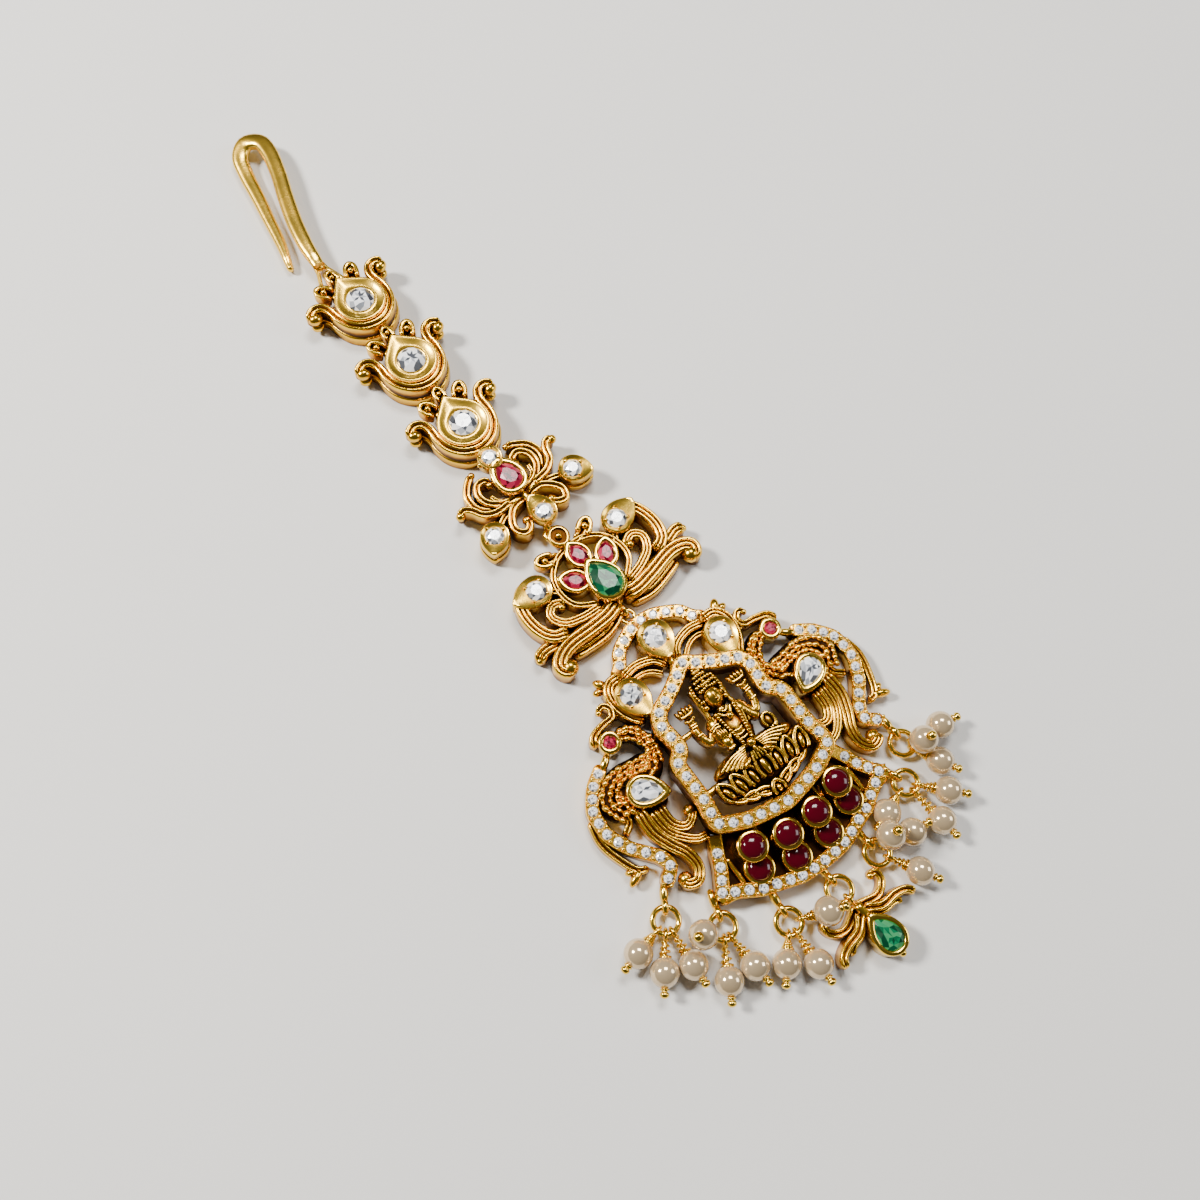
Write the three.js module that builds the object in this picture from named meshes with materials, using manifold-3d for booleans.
// Maang tikka: a hair-parting jewel that lies flat on its back, face up.
// Millimetres, +Z up. +Y runs from the pendant to the hair hook, +X across the pendant.
import * as THREE from 'three';
import { mergeVertices } from 'three/addons/utils/BufferGeometryUtils.js';
import Module from 'manifold-3d';

const wasm = await Module();
wasm.setup();

// Sizes of the motifs: each motif's table below holds shares of its own size
const linkSize = 10;
const flowerSize = 10;
const lotusSize = 10;
const pendantSize = 10;
const dropSize = 10;
const hookLength = 20;

// Turns of the castings about +Z, as the chain lies, in degrees
const linkTurns = [12, 3, 1.5];
const flowerTurn = 9;
const lotusTurn = 9;
const dropTurn = 8;

// Turn of the pear stones in the pendant: their tips point inwards and down
const pearStoneTurn = 125;

// Joints between the castings: one loop stands, the other lies, and they pass through each other
const jointLoopRadius = 0.75;
const jointWireRadius = 0.22;
const jointFloorGap = 0.05;
const jointHeight = jointLoopRadius + jointWireRadius + jointFloorGap;
const jointReach = jointLoopRadius / 2;
const neckRadius = 0.28;

// Hair hook
const hookWireWidth = 1.9;
const hookWireThickness = 1.3;
const hookArmLift = 1.3;
const hookFloorGap = 0.05;
const eyeThickness = 0.5;

// Stones: half widths, and the room that a seat leaves round its stone
const linkStoneRadius = 1.65;
const flowerRubyRadius = 1.35;
const flowerStoneRadius = 0.95;
const lotusEmeraldRadius = 1.6;
const lotusRubyRadius = 0.85;
const lotusStoneRadius = 1.05;
const crownStoneRadius = 1.15;
const sideStoneRadius = 1.1;
const pearStoneRadius = 1.25;
const eyeRubyRadius = 0.75;
const dropEmeraldRadius = 1.35;
const panelRubyRadius = 1.25;
const seatGap = 0.2;
const bezelWall = 0.4;

// Ribbons and bands of the castings
const ribbonWidth = 0.9;
const fineRibbonWidth = 0.7;
const ribbonTopShare = 0.6;
const paveBandWidth = 1.5;
const frameBandWidth = 1.7;
const castingHeight = 2.4;
const frameHeight = 4.7;

// Undersides of the ribbons, and how far one layer lies above or below the next
const lowUnderside = 0.2;
const underside = 0.4;
const highUnderside = 0.6;
const layerStep = 0.25;

// Girdle heights of the stones in the motifs
const colletHeight = 2.9;
const crownStoneHeight = 2.6;
const eyeRubyHeight = 2.6;
const pearStoneHeight = 3.6;
const dropEmeraldHeight = 2.5;
const petalRubyHeight = 3.0;
const flowerTopHeight = 3.9;
const flowerRubyHeight = 3.3;
const lotusEmeraldHeight = 3.5;

// Jump rings and pearl drops
const ringRadius = 1.35;
const ringWireRadius = 0.2;
const ringHeight = 1.05;
const bailRadius = 0.6;
const bailWireRadius = 0.2;
const pearlRadius = 1.45;
const pearlLoopRadius = 0.52;
const pearlLoopSlack = 0.04;
const pearlWireRadius = 0.13;
const pearlPinRadius = 0.2;
const raisedPearlHeight = 3.4;

// Colours and finishes as in the photograph
const gold = new THREE.MeshStandardMaterial({
  color: 0xe2ab45, roughness: 0.3, metalness: 1, flatShading: true,
});
const whiteStone = new THREE.MeshStandardMaterial({
  color: 0xf2f4f6, roughness: 0.03, metalness: 0, flatShading: true,
});
const ruby = new THREE.MeshStandardMaterial({
  color: 0x9c1030, roughness: 0.05, metalness: 0, flatShading: true,
});
const emerald = new THREE.MeshStandardMaterial({
  color: 0x0d7a45, roughness: 0.05, metalness: 0, flatShading: true,
});
const pearl = new THREE.MeshStandardMaterial({
  color: 0xf3e8d6, roughness: 0.22, metalness: 0, flatShading: true,
});

// Shapes of the cut stones: how far the tip is drawn out, on one side or on both
const round = { tip: 1, foot: 1 };
const pear = { tip: 1.75, foot: 1 };
const marquise = { tip: 1.55, foot: 1.35 };
const tipPinch = 0.28;

// Closed solid from a three.js geometry: shared corners merged, flat triangles dropped
function solidOf(geometry) {
  const bare = geometry.index ? geometry.clone() : geometry;
  bare.deleteAttribute('normal');
  bare.deleteAttribute('uv');
  const merged = mergeVertices(bare, 1e-4);
  const corners = [];
  for (let i = 0; i < merged.index.count; i += 3) {
    const [a, b, c] = [0, 1, 2].map((k) => merged.index.getX(i + k));
    if (a !== b && b !== c && c !== a) corners.push(a, b, c);
  }
  return new wasm.Manifold(new wasm.Mesh({
    numProp: 3,
    vertProperties: new Float32Array(merged.attributes.position.array),
    triVerts: new Uint32Array(corners),
  }));
}

// Named mesh from a solid
function meshOf(name, solid, material) {
  const { vertProperties, triVerts } = solid.getMesh();
  const geometry = new THREE.BufferGeometry();
  geometry.setAttribute('position', new THREE.BufferAttribute(vertProperties, 3));
  geometry.setIndex(new THREE.BufferAttribute(triVerts, 1));
  geometry.computeVertexNormals();
  const mesh = new THREE.Mesh(geometry, material);
  mesh.name = name;
  return mesh;
}

function join(solids) {
  return solids.reduce((whole, solid) => whole.add(solid));
}

function radians(degrees) {
  return THREE.MathUtils.degToRad(degrees);
}

function mirrored(points) {
  return points.map(([x, y]) => [-x, y]);
}

function scaled(points, size) {
  return points.map(([x, y]) => [x * size, y * size]);
}

// Curve through points in the plane
function flatCurve(points, closed = false) {
  return new THREE.CatmullRomCurve3(points.map(([x, y]) => new THREE.Vector3(x, y, 0)), closed);
}

// Bar swept along a flat curve, with leaning sides, from z = base to z = top
function ribbon(points, width, base, top) {
  const half = width / 2;
  const section = new THREE.Shape([
    new THREE.Vector2(-base, -half),
    new THREE.Vector2(-base, half),
    new THREE.Vector2(-top, half * ribbonTopShare),
    new THREE.Vector2(-top, -half * ribbonTopShare),
  ]);
  const geometry = new THREE.ExtrudeGeometry(section, {
    steps: points.length - 1, extrudePath: flatCurve(points), bevelEnabled: false,
  });
  return solidOf(geometry);
}

// Plate with a flat outline, from z = base to z = top
function plate(outline, base, top, hole = null) {
  const shape = new THREE.Shape(outline.map(([x, y]) => new THREE.Vector2(x, y)));
  if (hole) shape.holes.push(new THREE.Path(hole.map(([x, y]) => new THREE.Vector2(x, y))));
  const geometry = new THREE.ExtrudeGeometry(shape, { depth: top - base, steps: 1, bevelEnabled: false });
  geometry.translate(0, 0, base);
  return solidOf(geometry);
}

// Points beside a curve, at the same stations as the given points
function besideCurve(points, distance, closed) {
  const curve = flatCurve(points, closed);
  const spans = closed ? points.length : points.length - 1;
  return points.map(([x, y], i) => {
    const tangent = curve.getTangent(i / spans);
    return [x - tangent.y * distance, y + tangent.x * distance];
  });
}

// Flat band along a row of points, with an outline that closes round its ends
function openBand(points, width, base, top) {
  const left = besideCurve(points, width / 2, false);
  const right = besideCurve(points, -width / 2, false).reverse();
  return plate([...left, ...right], base, top);
}

function closedBand(points, width, base, top) {
  const outer = besideCurve(points, -width / 2, true);
  const inner = besideCurve(points, width / 2, true);
  return plate(outer, base, top, inner);
}

function ball(x, y, z, radius, around = 6, rings = 4) {
  const geometry = new THREE.SphereGeometry(radius, around, rings);
  geometry.rotateX(Math.PI / 2);
  geometry.translate(x, y, z);
  return solidOf(geometry);
}

// Ellipsoid with its long axis turned in the plane
function lump(x, y, z, length, width, height, turn = 0) {
  const geometry = new THREE.SphereGeometry(1, 8, 4);
  geometry.rotateX(Math.PI / 2);
  geometry.scale(width / 2, length / 2, height / 2);
  geometry.rotateZ(radians(turn));
  geometry.translate(x, y, z);
  return solidOf(geometry);
}

// Straight round bar between two points
function bar(from, to, radius, sides = 5) {
  const start = new THREE.Vector3(...from);
  const run = new THREE.Vector3(...to).sub(start);
  const geometry = new THREE.CylinderGeometry(radius, radius, run.length(), sides);
  geometry.translate(0, run.length() / 2, 0);
  const turn = new THREE.Quaternion().setFromUnitVectors(new THREE.Vector3(0, 1, 0), run.normalize());
  geometry.applyQuaternion(turn);
  geometry.translate(start.x, start.y, start.z);
  return solidOf(geometry);
}

// Wire loop that lies flat
function lyingLoop(x, y, z, radius, wire) {
  const geometry = new THREE.TorusGeometry(radius, wire, 5, 10);
  geometry.translate(x, y, z);
  return solidOf(geometry);
}

// Wire loop that stands up, its plane along the given direction in the plane
function standingLoop(x, y, z, radius, wire, direction) {
  const geometry = new THREE.TorusGeometry(radius, wire, 5, 10);
  geometry.rotateX(Math.PI / 2);
  geometry.rotateZ(radians(direction));
  geometry.translate(x, y, z);
  return solidOf(geometry);
}

// Turned profile, with its tip (+Y) and foot (-Y) drawn out to the stone's shape
function shapedLathe(profile, sides, shape) {
  const geometry = new THREE.LatheGeometry(profile.map(([r, z]) => new THREE.Vector2(r, z)), sides);
  geometry.rotateX(Math.PI / 2);
  const place = geometry.attributes.position;
  for (let i = 0; i < place.count; i += 1) {
    const x = place.getX(i);
    const y = place.getY(i);
    const reach = Math.hypot(x, y);
    const ahead = reach > 0 ? Math.abs(y) / reach : 0;
    const draw = y > 0 ? shape.tip : shape.foot;
    const pinch = draw > 1 ? tipPinch : 0;
    place.setXY(i, x * (1 - pinch * ahead), y * draw);
  }
  return solidOf(geometry);
}

// Cut stone about its own girdle: table, eight crown facets and eight pavilion facets
function stoneSolid(radius, shape) {
  const profile = [[0, -0.5 * radius], [radius, 0], [0.58 * radius, 0.34 * radius], [0, 0.34 * radius]];
  return shapedLathe(profile, 8, shape);
}

// Solid setting for a stone, as wide as the seat and its wall, before the seat is cut
function settingSolid(stone, base) {
  const outer = stone.radius + seatGap + bezelWall;
  const lip = stone.z + 0.1;
  return placeSolid(shapedLathe([[0, base], [outer, base], [outer, lip], [0, lip]], 8, stone.shape), stone);
}

// Seat that is cut for a stone, a little larger than the stone all round
function seatSolid(stone) {
  const seat = stone.radius + seatGap;
  const depth = 0.5 * stone.radius + seatGap;
  const profile = [[0, stone.z - depth], [seat, stone.z - seatGap], [seat, stone.z + 3], [0, stone.z + 3]];
  return placeSolid(shapedLathe(profile, 8, stone.shape), stone);
}

function placeSolid(solid, place) {
  return solid.rotate([0, 0, place.turn ?? 0]).translate([place.x, place.y, 0]);
}

// Stone mesh on its seat
function stoneMesh(stone) {
  const mesh = meshOf(stone.name, stoneSolid(stone.radius, stone.shape), stone.material);
  mesh.position.set(stone.x, stone.y, stone.z);
  mesh.rotation.z = radians(stone.turn ?? 0);
  return mesh;
}

// Casting: its solids joined, its settings added and their seats cut
function casting(name, solids, stones, settingBase) {
  const settings = stones.map((stone) => settingSolid(stone, stone.base ?? settingBase));
  const body = join([...solids, ...settings]).subtract(join(stones.map(seatSolid)));
  return meshOf(name, body, gold);
}

// Loops of a joint, in the casting's own frame: the casting above stands its loop, the one below lays it.
// A neck ties each loop to an anchor inside the casting.
function stepAlong(joint, direction, distance) {
  const turn = radians(direction);
  return [joint[0] + Math.cos(turn) * distance, joint[1] + Math.sin(turn) * distance];
}

function neckBar(from, anchor, height) {
  return bar([...from, height], [...anchor, height], neckRadius, 4);
}

function standingJoint(joint, anchor, direction) {
  const middle = stepAlong(joint, direction, jointReach);
  const post = stepAlong(joint, direction, jointReach + jointLoopRadius);
  return [
    standingLoop(...middle, jointHeight, jointLoopRadius, jointWireRadius, direction),
    bar([...post, jointHeight], [...post, castingHeight], jointWireRadius, 4),
    neckBar(post, anchor, castingHeight - neckRadius),
  ];
}

function lyingJoint(joint, anchor, direction) {
  const middle = stepAlong(joint, direction, -jointReach);
  return [
    lyingLoop(...middle, jointHeight, jointLoopRadius, jointWireRadius),
    neckBar(stepAlong(middle, direction, -jointLoopRadius), anchor, jointHeight),
  ];
}

// Chain link: shares of linkSize
const linkRibbon = [
  [-0.59, 0.24], [-0.47, 0.31], [-0.35, 0.2], [-0.35, 0], [-0.31, -0.16], [-0.19, -0.3], [0, -0.36],
  [0.19, -0.3], [0.31, -0.16], [0.35, 0], [0.35, 0.2], [0.47, 0.31], [0.59, 0.24],
];
const linkFoot = [[-0.5, 0.27], [-0.38, 0.2], [-0.36, 0], [-0.3, -0.16]];
const linkPlate = [
  [0, 0.42], [-0.14, 0.28], [-0.26, 0.16], [-0.31, 0], [-0.26, -0.16], [-0.14, -0.27], [0, -0.31],
  [0.14, -0.27], [0.26, -0.16], [0.31, 0], [0.26, 0.16], [0.14, 0.28],
];
const linkLeftPetal = [[-0.08, 0.28], [-0.25, 0.49]];
const linkTopPetal = [[0, 0.36], [0, 0.57]];
const linkUpperJoint = [0, 0.5375];
const linkLowerJoints = [[-0.08, -0.4925], [0, -0.4925], [0, -0.4925]];
const linkUpperAnchor = [0, 0.3];
const linkLowerAnchor = [0, -0.34];
const linkTop = 3.2;
const linkPlateTop = 3.6;
const linkUnderside = 1.5;
const linkPetalWidth = 1;
const linkPetalDepth = 1;

// Loop of the first link, which stands round the bar of the hook's eye
const hookLoopPlace = [0, linkUpperJoint[1] - jointReach / linkSize];

function hookJoint() {
  const [middle, anchor] = scaled([hookLoopPlace, linkUpperAnchor], linkSize);
  return [
    standingLoop(...middle, jointHeight, jointLoopRadius, jointWireRadius, 90),
    neckBar(stepAlong(middle, 90, -jointLoopRadius), anchor, jointHeight),
  ];
}

function linkCasting(number) {
  const [upperJoint, upperAnchor] = scaled([linkUpperJoint, linkUpperAnchor], linkSize);
  const [lowerJoint, lowerAnchor] = scaled([linkLowerJoints[number - 1], linkLowerAnchor], linkSize);
  const upper = number === 1 ? hookJoint() : lyingJoint(upperJoint, upperAnchor, 90);
  const solids = [
    ribbon(scaled(linkRibbon, linkSize), ribbonWidth * 1.2, linkUnderside, linkTop),
    ribbon(scaled(linkFoot, linkSize), ribbonWidth, 0, linkUnderside + layerStep),
    ribbon(scaled(mirrored(linkFoot), linkSize), ribbonWidth, 0, linkUnderside + layerStep),
    plate(scaled(linkPlate, linkSize), highUnderside, linkPlateTop),
    ribbon(scaled(linkLeftPetal, linkSize), linkPetalWidth, linkTop - linkPetalDepth, linkTop),
    ribbon(scaled(mirrored(linkLeftPetal), linkSize), linkPetalWidth, linkTop - linkPetalDepth, linkTop),
    ribbon(scaled(linkTopPetal, linkSize), linkPetalWidth, linkTop - linkPetalDepth, linkTop),
    ...upper,
    ...standingJoint(lowerJoint, lowerAnchor, 90),
  ];
  const stone = {
    name: `link_stone_${number}`, x: 0, y: 0, z: linkPlateTop, radius: linkStoneRadius, shape: round,
    material: whiteStone,
  };
  return groupOf([casting(`link_${number}`, solids, [stone], linkUnderside), stoneMesh(stone)]);
}

// Flower motif: shares of flowerSize
const flowerInnerScroll = [
  [0.05, -0.06], [0.25, -0.01], [0.38, 0.12], [0.39, 0.26], [0.31, 0.36], [0.21, 0.34],
];
const flowerLeaf = [[0.4, -0.01], [0.51, 0.16], [0.49, 0.34], [0.4, 0.44], [0.27, 0.52]];
const flowerWing = [[0.16, -0.06], [0.4, -0.04], [0.52, 0.04], [0.58, 0.17], [0.65, 0.23], [0.75, 0.2]];
const flowerStem = [[0.1, -0.09], [0.35, -0.13], [0.54, -0.21]];
const flowerCurl = [
  [0.03, -0.11], [0.22, -0.13], [0.34, -0.25], [0.37, -0.35], [0.31, -0.44], [0.22, -0.41], [0.18, -0.33],
];
const flowerUpperJoint = [0.02, 0.525];
const flowerLowerJoint = [-0.08, -0.585];
const flowerUpperAnchor = [0, 0.3];
const flowerLowerAnchor = [0, -0.42];

function flowerGroup() {
  const stones = [
    { name: 'flower_top_stone', x: 0, y: 0.455, z: flowerTopHeight, radius: flowerStoneRadius * 0.9,
      base: castingHeight },
    { name: 'flower_left_stone', x: -0.61, y: -0.25, z: colletHeight, radius: flowerStoneRadius },
    { name: 'flower_right_stone', x: 0.61, y: -0.25, z: colletHeight, radius: flowerStoneRadius },
    { name: 'flower_low_stone', x: 0, y: -0.41, z: colletHeight, radius: flowerStoneRadius,
      base: castingHeight - layerStep },
  ].map((stone) => ({
    ...stone, x: stone.x * flowerSize, y: stone.y * flowerSize, shape: round, material: whiteStone,
  }));
  stones.push({
    name: 'flower_ruby', x: 0, y: 0.13 * flowerSize, z: flowerRubyHeight, radius: flowerRubyRadius, shape: pear,
    material: ruby, base: castingHeight - highUnderside,
  });
  const sides = [];
  for (const side of [scaled, (points, size) => scaled(mirrored(points), size)]) {
    sides.push(
      ribbon(side(flowerInnerScroll, flowerSize), ribbonWidth, underside, castingHeight),
      ribbon(side(flowerLeaf, flowerSize), ribbonWidth, lowUnderside, castingHeight - layerStep),
      ribbon(side(flowerWing, flowerSize), ribbonWidth, highUnderside, castingHeight + layerStep),
      ribbon(side(flowerStem, flowerSize), fineRibbonWidth, lowUnderside, castingHeight - layerStep),
      ribbon(side(flowerCurl, flowerSize), ribbonWidth, 0, castingHeight),
    );
  }
  const spine = [[0, -0.3], [0, -0.1], [0, 0.16], [0, 0.4]];
  const topNeck = scaled([[0, 0.36], [0, 0.45]], flowerSize);
  const lowFork = scaled([[-0.12, -0.3], [0, -0.17], [0.12, -0.3]], flowerSize);
  const solids = [
    ...sides,
    ribbon(scaled(spine, flowerSize), ribbonWidth, underside, castingHeight),
    ribbon(topNeck, ribbonWidth, castingHeight - highUnderside, flowerRubyHeight),
    plate(lowFork, castingHeight / 2, colletHeight),
    ...lyingJoint(...scaled([flowerUpperJoint, flowerUpperAnchor], flowerSize), 90 - flowerTurn),
    ...standingJoint(...scaled([flowerLowerJoint, flowerLowerAnchor], flowerSize), 90 - flowerTurn),
  ];
  return groupOf([casting('flower_motif', solids, stones, underside), ...stones.map(stoneMesh)]);
}

// Lotus motif: shares of lotusSize
const lotusArch = [
  [0.2, -0.28], [0.42, -0.1], [0.45, 0.1], [0.37, 0.3], [0.2, 0.42], [0, 0.46],
];
const lotusOuterArch = [[0.6, 0.44], [0.76, 0.42], [0.91, 0.22], [0.93, -0.03], [0.86, -0.2], [0.68, -0.28]];
const lotusScroll = [
  [0.2, -0.31], [0.47, -0.26], [0.65, -0.17], [0.71, -0.03], [0.64, 0.06], [0.54, 0.04], [0.53, -0.03],
];
const lotusLeaf = [[0.8, -0.3], [0.92, -0.26], [1.05, -0.24], [1.15, -0.28]];
const lotusBase = [
  [0.14, -0.42], [0.22, -0.43], [0.45, -0.42], [0.8, -0.385], [0.97, -0.43], [1.03, -0.5], [1.0, -0.57],
];
const lotusBud = [[0.12, 0.44], [0.26, 0.48], [0.4, 0.54]];
const lotusUpperJoint = [0.02, 0.755];
const lotusLowerJoint = [-0.06, -0.54];
const lotusUpperAnchor = [0, 0.5];
const lotusLowerAnchor = [0, -0.34];
const lotusDiscPlace = [0, 0.6];
const lotusDiscRadius = 1.25;
const lotusDiscTop = 3.1;
const lotusDiscThickness = 0.8;
const lotusBeadRadius = 0.4;

function lotusGroup() {
  const stones = [
    { name: 'lotus_emerald', x: 0, y: -0.19, z: lotusEmeraldHeight, radius: lotusEmeraldRadius, shape: pear,
      material: emerald, base: castingHeight - layerStep },
    { name: 'lotus_top_ruby', x: 0, y: 0.27, z: petalRubyHeight, radius: lotusRubyRadius, shape: marquise,
      material: ruby },
    { name: 'lotus_left_ruby', x: -0.24, y: 0.08, z: petalRubyHeight, radius: lotusRubyRadius, shape: marquise,
      turn: 40, material: ruby },
    { name: 'lotus_right_ruby', x: 0.24, y: 0.08, z: petalRubyHeight, radius: lotusRubyRadius, shape: marquise,
      turn: -40, material: ruby },
    { name: 'lotus_left_stone', x: -0.63, y: 0.3, z: colletHeight, radius: lotusStoneRadius, shape: round,
      material: whiteStone },
    { name: 'lotus_right_stone', x: 0.63, y: 0.3, z: colletHeight, radius: lotusStoneRadius, shape: round,
      material: whiteStone },
  ].map((stone) => ({ ...stone, x: stone.x * lotusSize, y: stone.y * lotusSize }));
  const sides = [];
  for (const side of [scaled, (points, size) => scaled(mirrored(points), size)]) {
    const curl = side([[0.97, -0.585]], lotusSize)[0];
    sides.push(
      ribbon(side(lotusArch, lotusSize), fineRibbonWidth, underside, castingHeight),
      ribbon(side(lotusOuterArch, lotusSize), ribbonWidth, underside, castingHeight + layerStep),
      ribbon(side(lotusScroll, lotusSize), ribbonWidth, lowUnderside, castingHeight),
      ribbon(side(lotusLeaf, lotusSize), ribbonWidth * 1.2, underside, castingHeight - layerStep),
      ribbon(side(lotusBase, lotusSize), ribbonWidth * 1.5, 0, castingHeight),
      ribbon(side(lotusBud, lotusSize), ribbonWidth * 1.3, highUnderside, castingHeight),
      ribbon(side([[0.43, 0.1], [0.55, 0.26]], lotusSize), fineRibbonWidth, underside, castingHeight),
      ball(...curl, castingHeight - ribbonWidth, ribbonWidth),
    );
  }
  const disc = scaled([lotusDiscPlace], lotusSize)[0];
  const spine = scaled([[0, -0.42], [0, -0.1], [0, 0.3], [0, 0.5]], lotusSize);
  const budStem = scaled([[0, 0.42], [0, 0.66]], lotusSize);
  const budSeat = scaled([[0, 0.42], [0, 0.55]], lotusSize);
  const solids = [
    ...sides,
    ribbon(spine, ribbonWidth, underside, castingHeight),
    ribbon(budStem, ribbonWidth, highUnderside, castingHeight - lotusDiscThickness),
    ribbon(budSeat, ribbonWidth, highUnderside, lotusDiscTop - lotusDiscThickness / 2),
    discPlate(...disc, lotusDiscRadius, lotusDiscTop - lotusDiscThickness, lotusDiscTop),
    ball(...disc, lotusDiscTop, lotusBeadRadius),
    ...lyingJoint(...scaled([lotusUpperJoint, lotusUpperAnchor], lotusSize), 90 - lotusTurn),
    ...standingJoint(...scaled([lotusLowerJoint, lotusLowerAnchor], lotusSize), 90 - lotusTurn),
  ];
  return groupOf([casting('lotus_motif', solids, stones, underside), ...stones.map(stoneMesh)]);
}

function discPlate(x, y, radius, base, top) {
  const geometry = new THREE.CylinderGeometry(radius, radius, top - base, 12);
  geometry.rotateX(Math.PI / 2);
  geometry.translate(x, y, (base + top) / 2);
  return solidOf(geometry);
}

// Pendant: shares of pendantSize, right half where a table has one side only
const crownStones = [
  [-0.5, 0.36], [-0.42, 0.48], [-0.29, 0.56], [-0.15, 0.62], [0, 0.64],
  [0.15, 0.62], [0.29, 0.56], [0.42, 0.48], [0.5, 0.36],
];
const crownArch = [[-0.64, 0.25], ...crownStones, [0.64, 0.25]];
const frameHalf = [
  [0.125, -0.13], [0.26, -0.21], [0.4, -0.28], [0.53, -0.345], [0.595, -0.48], [0.58, -0.62],
  [0.58, -0.77], [0.69, -0.885], [0.7, -1.04], [0.7, -1.185], [0.7, -1.33], [0.725, -1.48],
  [0.725, -1.615], [0.6, -1.69], [0.46, -1.755], [0.315, -1.79], [0.16, -1.82],
];
const frameApex = [0, -0.05];
const frameFoot = [0, -1.845];
const tailStones = [
  [1.385, -0.46], [1.505, -0.54], [1.59, -0.64], [1.66, -0.745], [1.68, -0.88], [1.68, -1.02],
  [1.63, -1.15], [1.56, -1.28], [1.46, -1.4], [1.365, -1.52], [1.335, -1.65], [1.43, -1.74],
];
const tailBand = [[1.29, -0.4], ...tailStones, [1.52, -1.8]];
const crest = [
  [1.25, -0.22], [1.2, -0.12], [1.05, -0.07], [0.91, -0.05], [0.88, 0.03], [0.93, 0.1], [1.02, 0.06],
];
const neck = [[1.0, -0.24], [0.86, -0.28], [0.77, -0.4], [0.74, -0.56], [0.84, -0.76], [0.98, -0.86]];
const back = [[0.86, -0.62], [1.0, -0.6], [1.26, -0.56], [1.48, -0.66], [1.52, -0.8], [1.44, -0.96]];
const longFeather = [
  [1.27, -1.0], [1.28, -1.28], [1.21, -1.48], [1.12, -1.66], [1.11, -1.82], [1.19, -1.93],
  [1.29, -1.91], [1.33, -1.84],
];
const midFeather = [[1.18, -1.08], [1.15, -1.36], [1.04, -1.52], [0.92, -1.61], [0.8, -1.62]];
const shortFeather = [[1.08, -1.08], [1.06, -1.33], [0.96, -1.43], [0.86, -1.4], [0.78, -1.32]];
const rim = [[1.74, -0.8], [1.78, -1.05], [1.72, -1.3], [1.62, -1.5]];
const panelSide = [[0.87, -1.84], [0.93, -1.97], [1.0, -2.08], [1.07, -2.18]];
const panelArc = [
  [0.96, -2.25], [0.83, -2.32], [0.7, -2.395], [0.56, -2.44], [0.42, -2.49], [0.29, -2.53], [0.145, -2.545],
];
const panelFoot = [0, -2.55];
const panelCorner = [1.15, -2.22];
const upperRubies = [[0.565, -1.99], [0.192, -2.105]];
const lowerRubies = [[0.607, -2.21], [0.215, -2.347]];
const crownRibbon = [[0.06, 0.06], [0.15, 0.2], [0.38, 0.25], [0.56, 0.22]];
const crownCollar = [[0.8, 0.26], [0.78, 0.06], [0.74, -0.1], [0.68, -0.24], [0.62, -0.3]];
const crownTab = [[0.9, -0.03], [0.8, -0.06], [0.7, -0.05]];
const crownSpine = [[0, 0.55], [0, 0.2], [0, 0]];
const beak = [[1.1, -0.3], [1.36, -0.47]];
const frameStrut = [[0.6, -0.5], [0.76, -0.52]];
const archTop = 2;
const tailTop = 1.8;
const rimTop = 1.4;
const panelTop = 2;
const trayThickness = 1.1;
const upperRubyTop = 3.9;
const figureLift = 2.6;

function pendantStones() {
  const white = { shape: round, material: whiteStone };
  return [
    { ...white, name: 'crown_stone', x: 0, y: 0.39, z: crownStoneHeight, radius: crownStoneRadius },
    { ...white, name: 'crown_left_stone', x: -0.61, y: 0.01, z: colletHeight, radius: sideStoneRadius },
    { ...white, name: 'crown_right_stone', x: 0.61, y: 0.01, z: colletHeight, radius: sideStoneRadius },
    { name: 'left_pear_stone', x: -1.14, y: -0.885, z: pearStoneHeight, radius: pearStoneRadius, shape: pear,
      turn: -pearStoneTurn, material: whiteStone },
    { name: 'right_pear_stone', x: 1.14, y: -0.885, z: pearStoneHeight, radius: pearStoneRadius, shape: pear,
      turn: pearStoneTurn, material: whiteStone },
    { name: 'left_eye_ruby', x: -1.1, y: -0.27, z: eyeRubyHeight, radius: eyeRubyRadius, shape: round,
      material: ruby },
    { name: 'right_eye_ruby', x: 1.1, y: -0.27, z: eyeRubyHeight, radius: eyeRubyRadius, shape: round,
      material: ruby },
  ].map((stone) => ({ ...stone, x: stone.x * pendantSize, y: stone.y * pendantSize }));
}

function framePoints() {
  const left = mirrored(frameHalf);
  return scaled([frameApex, ...left, frameFoot, ...frameHalf.slice().reverse()], pendantSize);
}

// Crown: pavé arch with its ribbons
function crownSolids() {
  const sides = [];
  for (const side of [scaled, (points, size) => scaled(mirrored(points), size)]) {
    sides.push(
      ribbon(side(crownRibbon, pendantSize), ribbonWidth, lowUnderside, archTop),
      ribbon(side(crownCollar, pendantSize), ribbonWidth, lowUnderside, archTop + layerStep),
      ribbon(side(crownTab, pendantSize), ribbonWidth, lowUnderside, archTop),
    );
  }
  return [
    openBand(scaled(crownArch, pendantSize), paveBandWidth, lowUnderside, archTop),
    ...sides,
    ribbon(scaled(crownSpine, pendantSize), ribbonWidth, lowUnderside, archTop),
  ];
}

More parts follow.
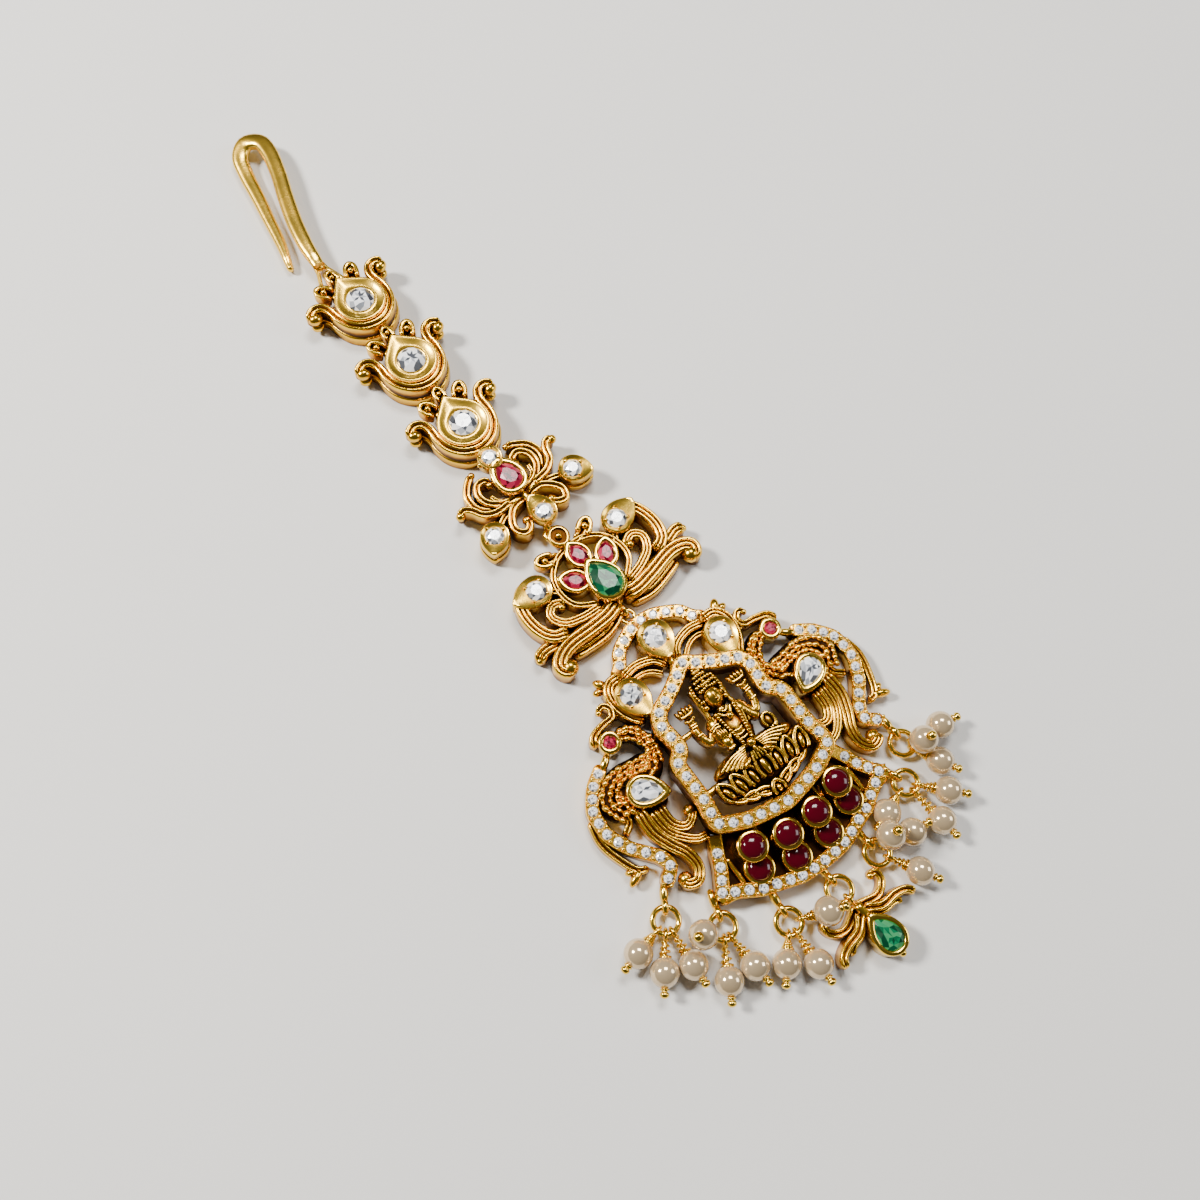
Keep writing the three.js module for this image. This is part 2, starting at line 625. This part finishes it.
// One peacock: crest, neck, body, tail with its pavé row, and feathers
function peacockSolids(side) {
  const curl = side([[1.26, -1.85]], pendantSize)[0];
  const featherTop = castingHeight - layerStep;
  return [
    ribbon(side(crest, pendantSize), ribbonWidth, underside, featherTop),
    ribbon(side(neck, pendantSize), ribbonWidth * 1.4, lowUnderside, castingHeight),
    ribbon(side(back, pendantSize), ribbonWidth * 1.4, lowUnderside, castingHeight),
    ribbon(side(beak, pendantSize), ribbonWidth, highUnderside, featherTop),
    openBand(side(tailBand, pendantSize), paveBandWidth, 0, tailTop),
    ribbon(side(longFeather, pendantSize), ribbonWidth, lowUnderside, featherTop),
    ribbon(side(midFeather, pendantSize), ribbonWidth, lowUnderside, featherTop),
    ribbon(side(shortFeather, pendantSize), ribbonWidth, lowUnderside, featherTop),
    ribbon(side(rim, pendantSize), fineRibbonWidth, 0, rimTop),
    ribbon(side(frameStrut, pendantSize), ribbonWidth, underside, rimTop),
    ball(...curl, castingHeight / 2, ribbonWidth),
  ];
}

// Ruby panel: crescent tray with two rows of bezel-set domed stones
function panelSolids() {
  const right = scaled([...panelSide, panelCorner], pendantSize);
  const left = scaled(mirrored([...panelSide, panelCorner]), pendantSize);
  const arc = scaled([panelCorner, ...panelArc, panelFoot, ...mirrored(panelArc).reverse(),
    ...mirrored([panelCorner])], pendantSize);
  const trayTop = scaled([[-0.8, -1.72], [-0.6, -1.74], [-0.32, -1.82], [0, -1.86],
    [0.32, -1.82], [0.6, -1.74], [0.8, -1.72]], pendantSize);
  const outline = [...trayTop, ...right, ...arc.slice(1, -1), ...left.slice().reverse()];
  const domes = [];
  for (const side of [1, -1]) {
    for (const [x, y] of scaled(upperRubies, pendantSize)) domes.push(panelRuby(side * x, y, upperRubyTop));
    for (const [x, y] of scaled(lowerRubies, pendantSize)) domes.push(panelRuby(side * x, y, panelTop));
  }
  return [
    plate(outline, 0, trayThickness),
    openBand(right, paveBandWidth, 0, panelTop),
    openBand(left, paveBandWidth, 0, panelTop),
    openBand(arc, paveBandWidth, 0, panelTop),
    ...domes,
  ];
}

function panelRuby(x, y, top) {
  const outer = panelRubyRadius + bezelWall;
  const low = trayThickness - 0.5;
  const dome = top + 0.45;
  const profile = [[0, low], [outer, low], [outer, top], [panelRubyRadius * 0.6, dome], [0, dome]];
  return placeSolid(shapedLathe(profile, 10, round), { x, y });
}

// Seated figure on a lotus, as a plain relief, all in shares of pendantSize.
// Lumps: place, height above the lift, length, width and depth
const figureLumps = [
  [0.02, -1.53, 0.07, 0.48, 0.96, 0.26],
  [0.05, -1.22, 0.12, 0.26, 0.9, 0.28],
  [0.05, -0.98, 0.13, 0.48, 0.32, 0.3],
  [0.06, -0.56, 0.15, 0.34, 0.28, 0.3],
  [0.04, -0.3, 0.13, 0.26, 0.19, 0.22],
  [-0.35, -0.48, 0.15, 0.18, 0.13, 0.16],
  [0.35, -0.48, 0.15, 0.18, 0.13, 0.16],
];
const figureArms = [
  [[-0.05, -0.78], [-0.3, -0.9], [-0.36, -0.68], [-0.36, -0.5]],
  [[0.12, -0.76], [0.32, -0.92], [0.37, -0.72], [0.35, -0.5]],
  [[0.1, -0.84], [0.38, -1.14]],
  [[-0.04, -0.84], [-0.18, -1.14]],
];

// Tabs that tie the figure to the frame: route, width, underside and top above the lift
const figureTabs = [
  { route: [[-0.66, -1.28], [-0.4, -1.28], [0.4, -1.28], [0.66, -1.28]], width: 0.07, base: 0.02, top: 0.12 },
  { route: [[-0.56, -0.7], [-0.34, -0.7]], width: 0.06, base: 0.06, top: 0.14 },
  { route: [[0, -1.86], [0, -1.62]], width: 0.12, base: 0, top: 0.12 },
];

function figureSolids() {
  const above = (share) => figureLift + share * pendantSize;
  const lumps = figureLumps.map(([x, y, z, ...size]) => lump(
    x * pendantSize, y * pendantSize, above(z), ...size.map((share) => share * pendantSize)));
  const arms = figureArms.map((points) => ribbon(
    scaled(points, pendantSize), fineRibbonWidth * 1.2, above(0.06), above(0.24)));
  const tabs = figureTabs.map(({ route, width, base, top }) => ribbon(
    scaled(route, pendantSize), width * pendantSize, above(base), above(top)));
  return [...lumps, ...arms, ...tabs];
}

function pendantGroup() {
  const stones = pendantStones();
  const other = (points, size) => scaled(mirrored(points), size);
  const frame = framePoints();
  const solids = [
    closedBand(frame, frameBandWidth, underside, frameHeight),
    ...crownSolids(),
    ...peacockSolids(scaled),
    ...peacockSolids(other),
    ...panelSolids(),
    ...figureSolids(),
    ...ringPlaces.flatMap(bailSolids),
    ...lyingJoint(...scaled([pendantUpperJoint, pendantUpperAnchor], pendantSize), 90),
  ];
  return groupOf([casting('pendant_frame', solids, stones, lowUnderside), ...stones.map(stoneMesh)]);
}

// Jump rings: place and the direction of the bail that holds each, shares of pendantSize and degrees
const ringPlaces = [
  { x: -1.696, y: -2.056, bail: 57, reach: 0.14 },
  { x: -1.26, y: -2.445, bail: 73, reach: 0.15 },
  { x: -0.68, y: -2.81, bail: 84, reach: 0.14 },
  { x: -0.05, y: -2.87, bail: 94, reach: 0.12 },
  { x: 0.52, y: -2.82, bail: 96, reach: 0.14 },
  { x: 1.255, y: -2.445, bail: 113, reach: 0.15 },
  { x: 1.51, y: -2.1, bail: 90, reach: 0.14 },
];
const pendantUpperJoint = [-0.07, 0.815];
const pendantUpperAnchor = [-0.05, 0.6];

function bailSolids({ x, y, bail, reach }) {
  const along = [Math.cos(radians(bail)), Math.sin(radians(bail))];
  const centre = [x * pendantSize + along[0] * ringRadius, y * pendantSize + along[1] * ringRadius];
  const start = bailRadius + bailWireRadius / 2;
  const neckStart = [centre[0] + along[0] * start, centre[1] + along[1] * start, ringHeight];
  const end = start + reach * pendantSize;
  const neckEnd = [centre[0] + along[0] * end, centre[1] + along[1] * end, ringHeight];
  return [
    standingLoop(centre[0], centre[1], ringHeight, bailRadius, bailWireRadius, bail),
    bar(neckStart, neckEnd, bailWireRadius * 1.2, 4),
  ];
}

function ringMesh(place, number) {
  const ring = solidOf(new THREE.TorusGeometry(ringRadius, ringWireRadius, 5, 10));
  const mesh = meshOf(`ring_${number}`, ring, gold);
  mesh.position.set(place.x * pendantSize, place.y * pendantSize, ringHeight);
  return mesh;
}

// Pearl drops: ring, direction in degrees, distance from the ring's centre; raised ones lie on the others
const pearlPlaces = [
  { ring: 1, direction: 192, distance: 4.3 },
  { ring: 1, direction: 231, distance: 5.0 },
  { ring: 1, direction: 266, distance: 5.05 },
  { ring: 2, direction: 164, distance: 2.5, raised: true },
  { ring: 2, direction: 238, distance: 5.25 },
  { ring: 2, direction: 273, distance: 4.85 },
  { ring: 3, direction: 226, distance: 4.1 },
  { ring: 3, direction: 267.5, distance: 4.85 },
  { ring: 3, direction: 339, distance: 3.7, raised: true },
  { ring: 7, direction: 323, distance: 1.6, raised: true },
  { ring: 7, direction: 349, distance: 4.7 },
  { ring: 7, direction: 297, distance: 4.3 },
  { ring: 6, direction: 313, distance: 4.5 },
  { ring: 6, direction: 274, distance: 5.26 },
  { ring: 6, direction: 197, distance: 4.1 },
  { ring: 5, direction: 353, distance: 4.35 },
  { ring: 5, direction: 24, distance: 1.75, raised: true },
  { ring: 5, direction: 300, distance: 4.65 },
];

// Pearl on its wire: the loop's centre at the origin, the pearl towards +X
function pearlDropSolid(reach, rise) {
  const centre = new THREE.Vector3(reach, 0, rise);
  const out = centre.clone().normalize();
  const loopEdge = out.clone().multiplyScalar(pearlLoopRadius + pearlWireRadius / 2);
  return join([
    standingLoop(0, 0, 0, pearlLoopRadius, pearlWireRadius, 0),
    bar(loopEdge.toArray(), centre.toArray(), pearlPinRadius, 4),
    ball(...centre.toArray(), pearlRadius, 10, 4),
  ]);
}

function pearlDropMesh(place, index) {
  const ring = ringPlaces[place.ring - 1];
  const loopReach = ringRadius + pearlLoopSlack;
  const reach = place.distance - loopReach;
  const rise = (place.raised ? raisedPearlHeight : pearlRadius) - ringHeight;
  const number = String(index + 1).padStart(2, '0');
  const mesh = meshOf(`pearl_drop_${number}`, pearlDropSolid(reach, rise), pearl);
  const turn = radians(place.direction);
  mesh.rotation.z = turn;
  mesh.position.set(ring.x * pendantSize + Math.cos(turn) * loopReach,
    ring.y * pendantSize + Math.sin(turn) * loopReach, ringHeight);
  return mesh;
}

// Centre drop: shares of dropSize, from its loop on ring 4
const dropUpperWing = [[0.0, -0.09], [0.09, -0.13], [0.26, -0.175], [0.39, -0.1], [0.4, 0], [0.32, 0.01]];
const dropLowerWing = [[0.03, -0.15], [0.185, -0.265], [0.38, -0.285], [0.5, -0.34], [0.54, -0.43]];
const dropWingTop = 1.4;
const dropTop = 2.2;
const dropTip = -0.735;
const dropTipRadius = 0.4;

function dropGroup() {
  const stone = {
    name: 'drop_emerald', x: 0, y: -0.53 * dropSize, z: dropEmeraldHeight, radius: dropEmeraldRadius,
    shape: pear, material: emerald,
  };
  const sides = [];
  for (const side of [scaled, (points, size) => scaled(mirrored(points), size)]) {
    sides.push(
      ribbon(side(dropUpperWing, dropSize), ribbonWidth, lowUnderside, dropWingTop),
      ribbon(side(dropLowerWing, dropSize), ribbonWidth, 0, dropTop),
    );
  }
  const solids = [
    standingLoop(0, 0, ringHeight, bailRadius, bailWireRadius, 90),
    ribbon(scaled([[0, -0.055], [0, -0.2], [0, -0.4]], dropSize), ribbonWidth, lowUnderside, dropTop),
    ...sides,
    ball(0, dropTip * dropSize, castingHeight / 2, dropTipRadius),
  ];
  return groupOf([casting('drop_mount', solids, [stone], lowUnderside), stoneMesh(stone)]);
}

// Hair hook, in its own frame: the eye's bar at the origin, the arms towards +Y, shares of hookLength
const hookRoute = [
  [-0.01, 0.2, 1], [0.0, 0.31, 1], [0.03, 0.49, 1], [0.08, 0.68, 1], [0.14, 0.88, 1], [0.175, 1.06, 1],
  [0.165, 1.15, 0.95], [0.09, 1.2, 0.7], [0.015, 1.15, 0.35], [-0.02, 1.02, 0.12], [-0.045, 0.84, 0.04],
  [-0.075, 0.65, 0.01], [-0.105, 0.46, 0], [-0.15, 0.27, 0],
];
const eyeOutline = [
  [-0.085, -0.0125], [0.085, -0.0125], [0.08, 0.05], [0.045, 0.17], [0.04, 0.23],
  [-0.045, 0.23], [-0.045, 0.17], [-0.08, 0.05],
];
const eyeHole = [[-0.06, 0.012], [0, 0.145], [0.06, 0.012]];
const eyeShank = [[-0.0025, 0.17], [-0.005, 0.27]];
const eyeShankRadius = 0.8;

function hookMesh() {
  const low = hookWireThickness / 2 + hookFloorGap;
  const route = hookRoute.map(([x, y, lift]) => new THREE.Vector3(
    x * hookLength, y * hookLength, low + lift * hookArmLift));
  const half = [hookWireThickness / 2, hookWireWidth / 2];
  const section = new THREE.Shape();
  section.absellipse(0, 0, half[0], half[1], 0, 2 * Math.PI, false, 0);
  const sweep = new THREE.ExtrudeGeometry(section, {
    steps: 18, curveSegments: 3, extrudePath: new THREE.CatmullRomCurve3(route), bevelEnabled: false,
  });
  const eyeLow = jointHeight - eyeThickness / 2;
  const eye = plate(scaled(eyeOutline, hookLength), eyeLow, eyeLow + eyeThickness, scaled(eyeHole, hookLength));
  const [shankFoot, shankHead] = scaled(eyeShank, hookLength);
  const shank = bar([...shankFoot, jointHeight], [...shankHead, low + hookArmLift], eyeShankRadius, 8);
  return meshOf('hair_hook', join([solidOf(sweep), eye, shank]), gold);
}

function groupOf(meshes) {
  const group = new THREE.Group();
  group.add(...meshes);
  return group;
}

// Chain: each casting is placed so that its lower joint meets the upper joint of the one below it
function placeOnJoint(group, lowerJoint, size, turn, joint) {
  const offset = new THREE.Vector2(...lowerJoint).multiplyScalar(size)
    .rotateAround(new THREE.Vector2(), radians(turn));
  group.position.set(joint.x - offset.x, joint.y - offset.y, 0);
  group.rotation.z = radians(turn);
}

function jointAbove(group, upperJoint, size) {
  return new THREE.Vector2(...upperJoint).multiplyScalar(size)
    .rotateAround(new THREE.Vector2(), group.rotation.z)
    .add(new THREE.Vector2(group.position.x, group.position.y));
}

const pendant = pendantGroup();
const lotus = lotusGroup();
placeOnJoint(lotus, lotusLowerJoint, lotusSize, lotusTurn, jointAbove(pendant, pendantUpperJoint, pendantSize));
const flower = flowerGroup();
placeOnJoint(flower, flowerLowerJoint, flowerSize, flowerTurn, jointAbove(lotus, lotusUpperJoint, lotusSize));

const links = [];
let below = jointAbove(flower, flowerUpperJoint, flowerSize);
for (const number of [3, 2, 1]) {
  const link = linkCasting(number);
  placeOnJoint(link, linkLowerJoints[number - 1], linkSize, linkTurns[number - 1], below);
  below = jointAbove(link, linkUpperJoint, linkSize);
  links.push(link);
}

const hook = hookMesh();
const topLink = links[links.length - 1];
const eyeBar = jointAbove(topLink, hookLoopPlace, linkSize);
hook.position.set(eyeBar.x, eyeBar.y, 0);

const drop = dropGroup();
const middleRing = ringPlaces[3];
drop.rotation.z = radians(dropTurn);
drop.position.set(middleRing.x * pendantSize + Math.sin(radians(dropTurn)) * ringRadius,
  middleRing.y * pendantSize - Math.cos(radians(dropTurn)) * ringRadius, 0);

const tikka = new THREE.Group();
tikka.name = 'maang_tikka';
tikka.add(pendant, lotus, flower, ...links, hook, drop);
tikka.add(...ringPlaces.map((place, i) => ringMesh(place, i + 1)));
tikka.add(...pearlPlaces.map(pearlDropMesh));

// Origin at the middle of the bottom of the whole jewel
const box = new THREE.Box3().setFromObject(tikka);
const middle = box.getCenter(new THREE.Vector3());
tikka.position.set(-middle.x, -middle.y, -box.min.z);

export default tikka;
